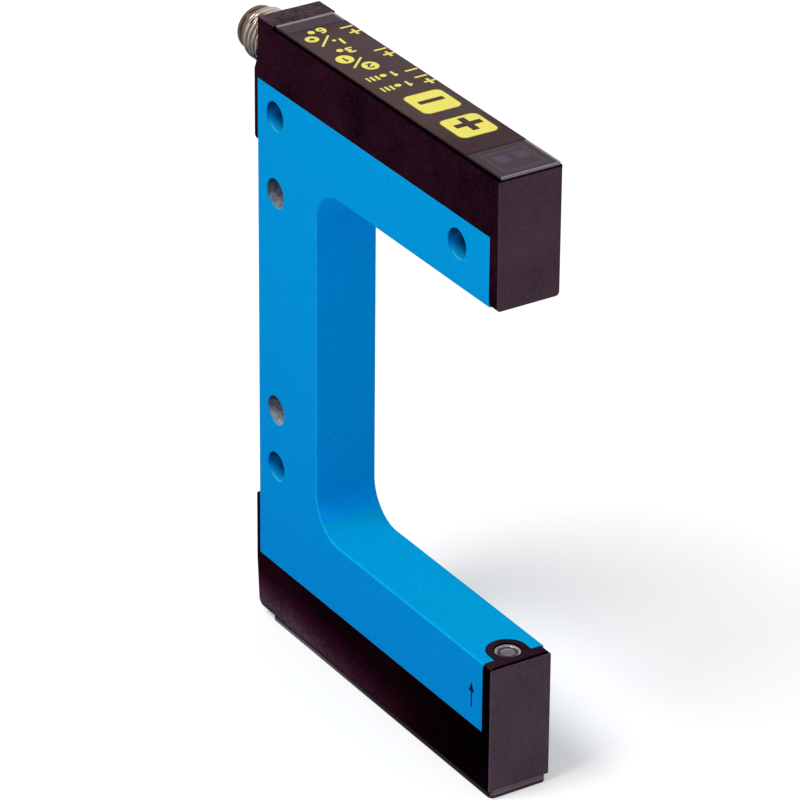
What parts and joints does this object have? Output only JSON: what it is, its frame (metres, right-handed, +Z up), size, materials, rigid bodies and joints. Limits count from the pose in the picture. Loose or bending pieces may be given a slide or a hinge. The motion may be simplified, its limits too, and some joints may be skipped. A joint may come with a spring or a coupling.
{
  "type": "fork sensor",
  "caption": "Fork light-barrier sensor: a blue metal C-shaped body with black end covers, a round lens across the mouth, a two-key foil keypad and a round threaded plug.",
  "frame": {"origin": "where the light beam's axis meets the underside of the base strip", "axes": "+Z up along the beam, +X out of the fork's mouth, Y across the side faces"},
  "size_m": [0.0693, 0.01, 0.095],
  "materials": {
    "housing_paint": "satin blue paint on an aluminium casting",
    "black_moulding": "fine textured black moulding",
    "smoked_lid": "smoked clear plastic",
    "foil_print": "satin dark film with yellow print",
    "strip_plastic": "satin dark grey plastic",
    "circuit_board": "green solder mask",
    "chip_body": "matt black package",
    "lamp": "milky lamp package",
    "light_guide": "clear plastic",
    "lens_glass": "clear lens",
    "ribbon_film": "amber film",
    "socket_plastic": "ivory plastic",
    "switch_case": "black plastic",
    "switch_plunger": "white plastic",
    "seal_rubber": "black rubber",
    "screw_steel": "bright steel",
    "nickel_brass": "nickel-plated brass",
    "pin_gold": "gold-plated contacts",
    "insert_plastic": "black moulding"
  },
  "bodies": {
    "root": {"fork_housing": "housing_paint", "upper_cover": "black_moulding", "lower_cover": "black_moulding", "top_lid": "smoked_lid", "keypad_foil": "foil_print", "base_strip": "strip_plastic", "main_board": "circuit_board", "emitter_board": "circuit_board", "microcontroller": "chip_body", "indicator_led_front": "lamp", "indicator_led_rear": "lamp", "front_light_guide": "light_guide", "rear_light_guide": "light_guide", "receiver_diode": "chip_body", "receiver_lens": "lens_glass", "emitter_led": "lamp", "emitter_lens": "lens_glass", "ribbon_cable": "ribbon_film", "ribbon_socket_upper": "socket_plastic", "ribbon_socket_lower": "socket_plastic", "upper_seal": "seal_rubber", "lower_seal": "seal_rubber", "upper_cover_screws": "screw_steel", "lower_cover_screws": "screw_steel", "connector_shell": "nickel_brass", "connector_insert": "insert_plastic", "connector_pins": "pin_gold", "connector_seal": "seal_rubber", "key_switch_minus": "switch_case", "key_switch_plus": "switch_case"},
    "minus_plunger": {"key_plunger_minus": "switch_plunger"},
    "plus_plunger": {"key_plunger_plus": "switch_plunger"}
  },
  "joints": [
    {"name": "minus_key_press", "type": "slide", "parent": "root", "child": "minus_plunger", "axis": [0, 0, -1], "range_m": [0, 0.00025], "stiffness_N_per_m": 4000},
    {"name": "plus_key_press", "type": "slide", "parent": "root", "child": "plus_plunger", "axis": [0, 0, -1], "range_m": [0, 0.00025], "stiffness_N_per_m": 4000}
  ]
}
